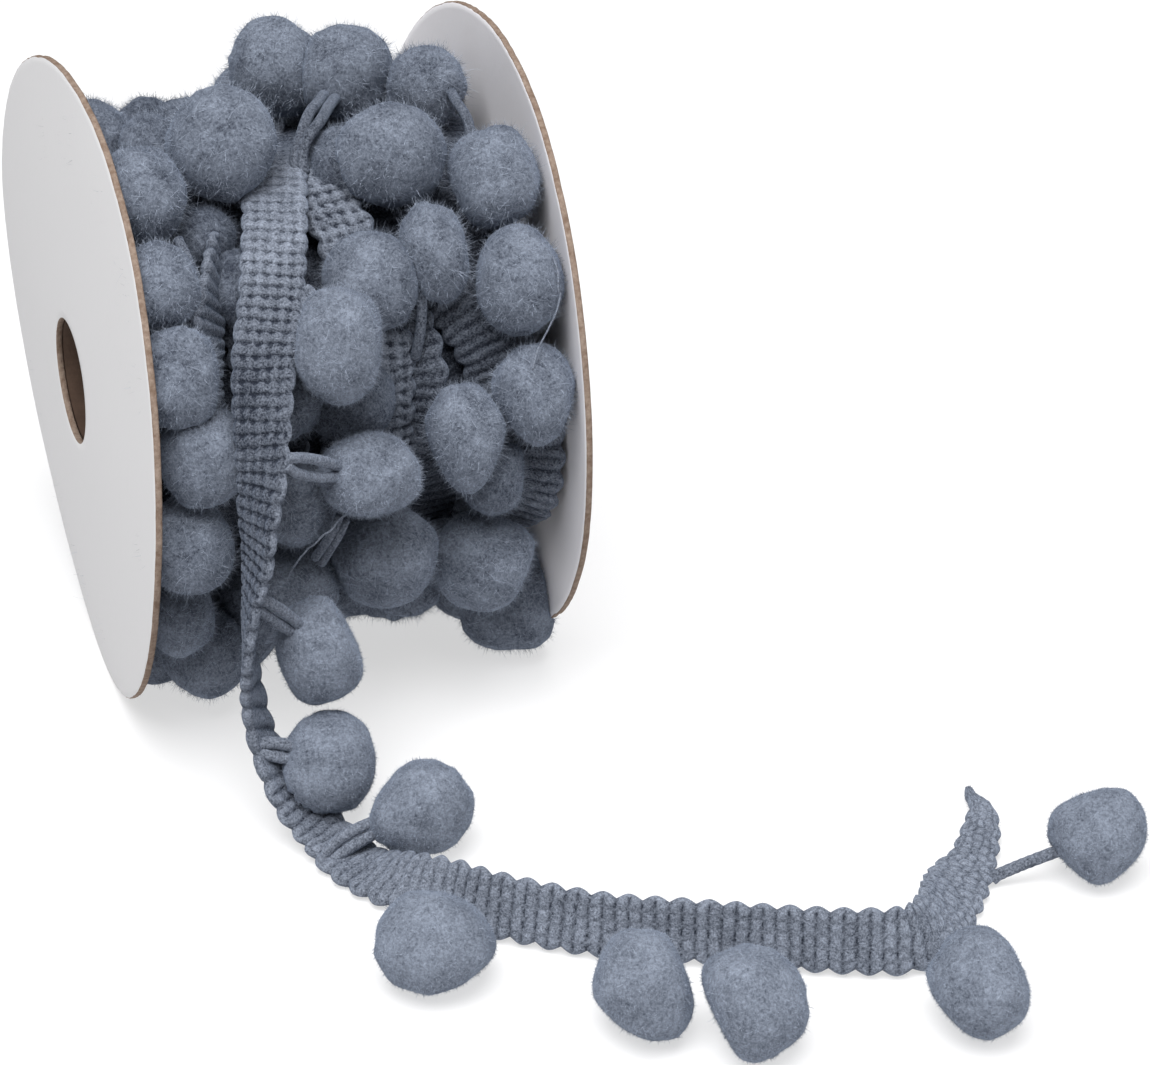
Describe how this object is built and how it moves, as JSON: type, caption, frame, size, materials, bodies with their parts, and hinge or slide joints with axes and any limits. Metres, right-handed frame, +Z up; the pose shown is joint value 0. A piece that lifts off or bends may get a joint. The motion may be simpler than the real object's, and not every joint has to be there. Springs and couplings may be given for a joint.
{
  "type": "pompom fringe trim on a card reel",
  "caption": "Felted pompom fringe trim with a looped knitted braid, wound on a plain card reel, its loose end hanging off the front and trailing on the surface.",
  "frame": {"origin": "middle of the whole part's footprint, on the surface it stands on", "axes": "+X along the reel's axis, -Y the way the loose end trails off, +Z up"},
  "size_m": [0.13, 0.198, 0.1004],
  "materials": {
    "card": "matt white-faced board with a brown edge",
    "kraft": "matt brown board",
    "braid": "knitted yarn, matt",
    "felt": "fuzzy felted yarn, matt"
  },
  "bodies": {
    "root": {"flange_left": "card", "flange_right": "card", "core_tube": "kraft", "wound_braid": "braid", "loose_braid": "braid", "fringe_turn_1_1": "felt", "fringe_turn_1_2": "felt", "fringe_turn_1_3": "felt", "fringe_turn_2_1": "felt", "fringe_turn_2_2": "felt", "fringe_turn_2_3": "felt", "fringe_turn_3_1": "felt", "fringe_turn_3_2": "felt", "fringe_turn_3_3": "felt", "fringe_turn_4_1": "felt", "fringe_turn_4_2": "felt", "fringe_turn_4_3": "felt", "fringe_turn_5_1": "felt", "fringe_turn_5_2": "felt", "fringe_turn_5_3": "felt", "loose_fringe_drop": "felt", "loose_fringe_bend": "felt", "loose_fringe_front": "felt", "loose_fringe_end": "felt"}
  },
  "joints": []
}
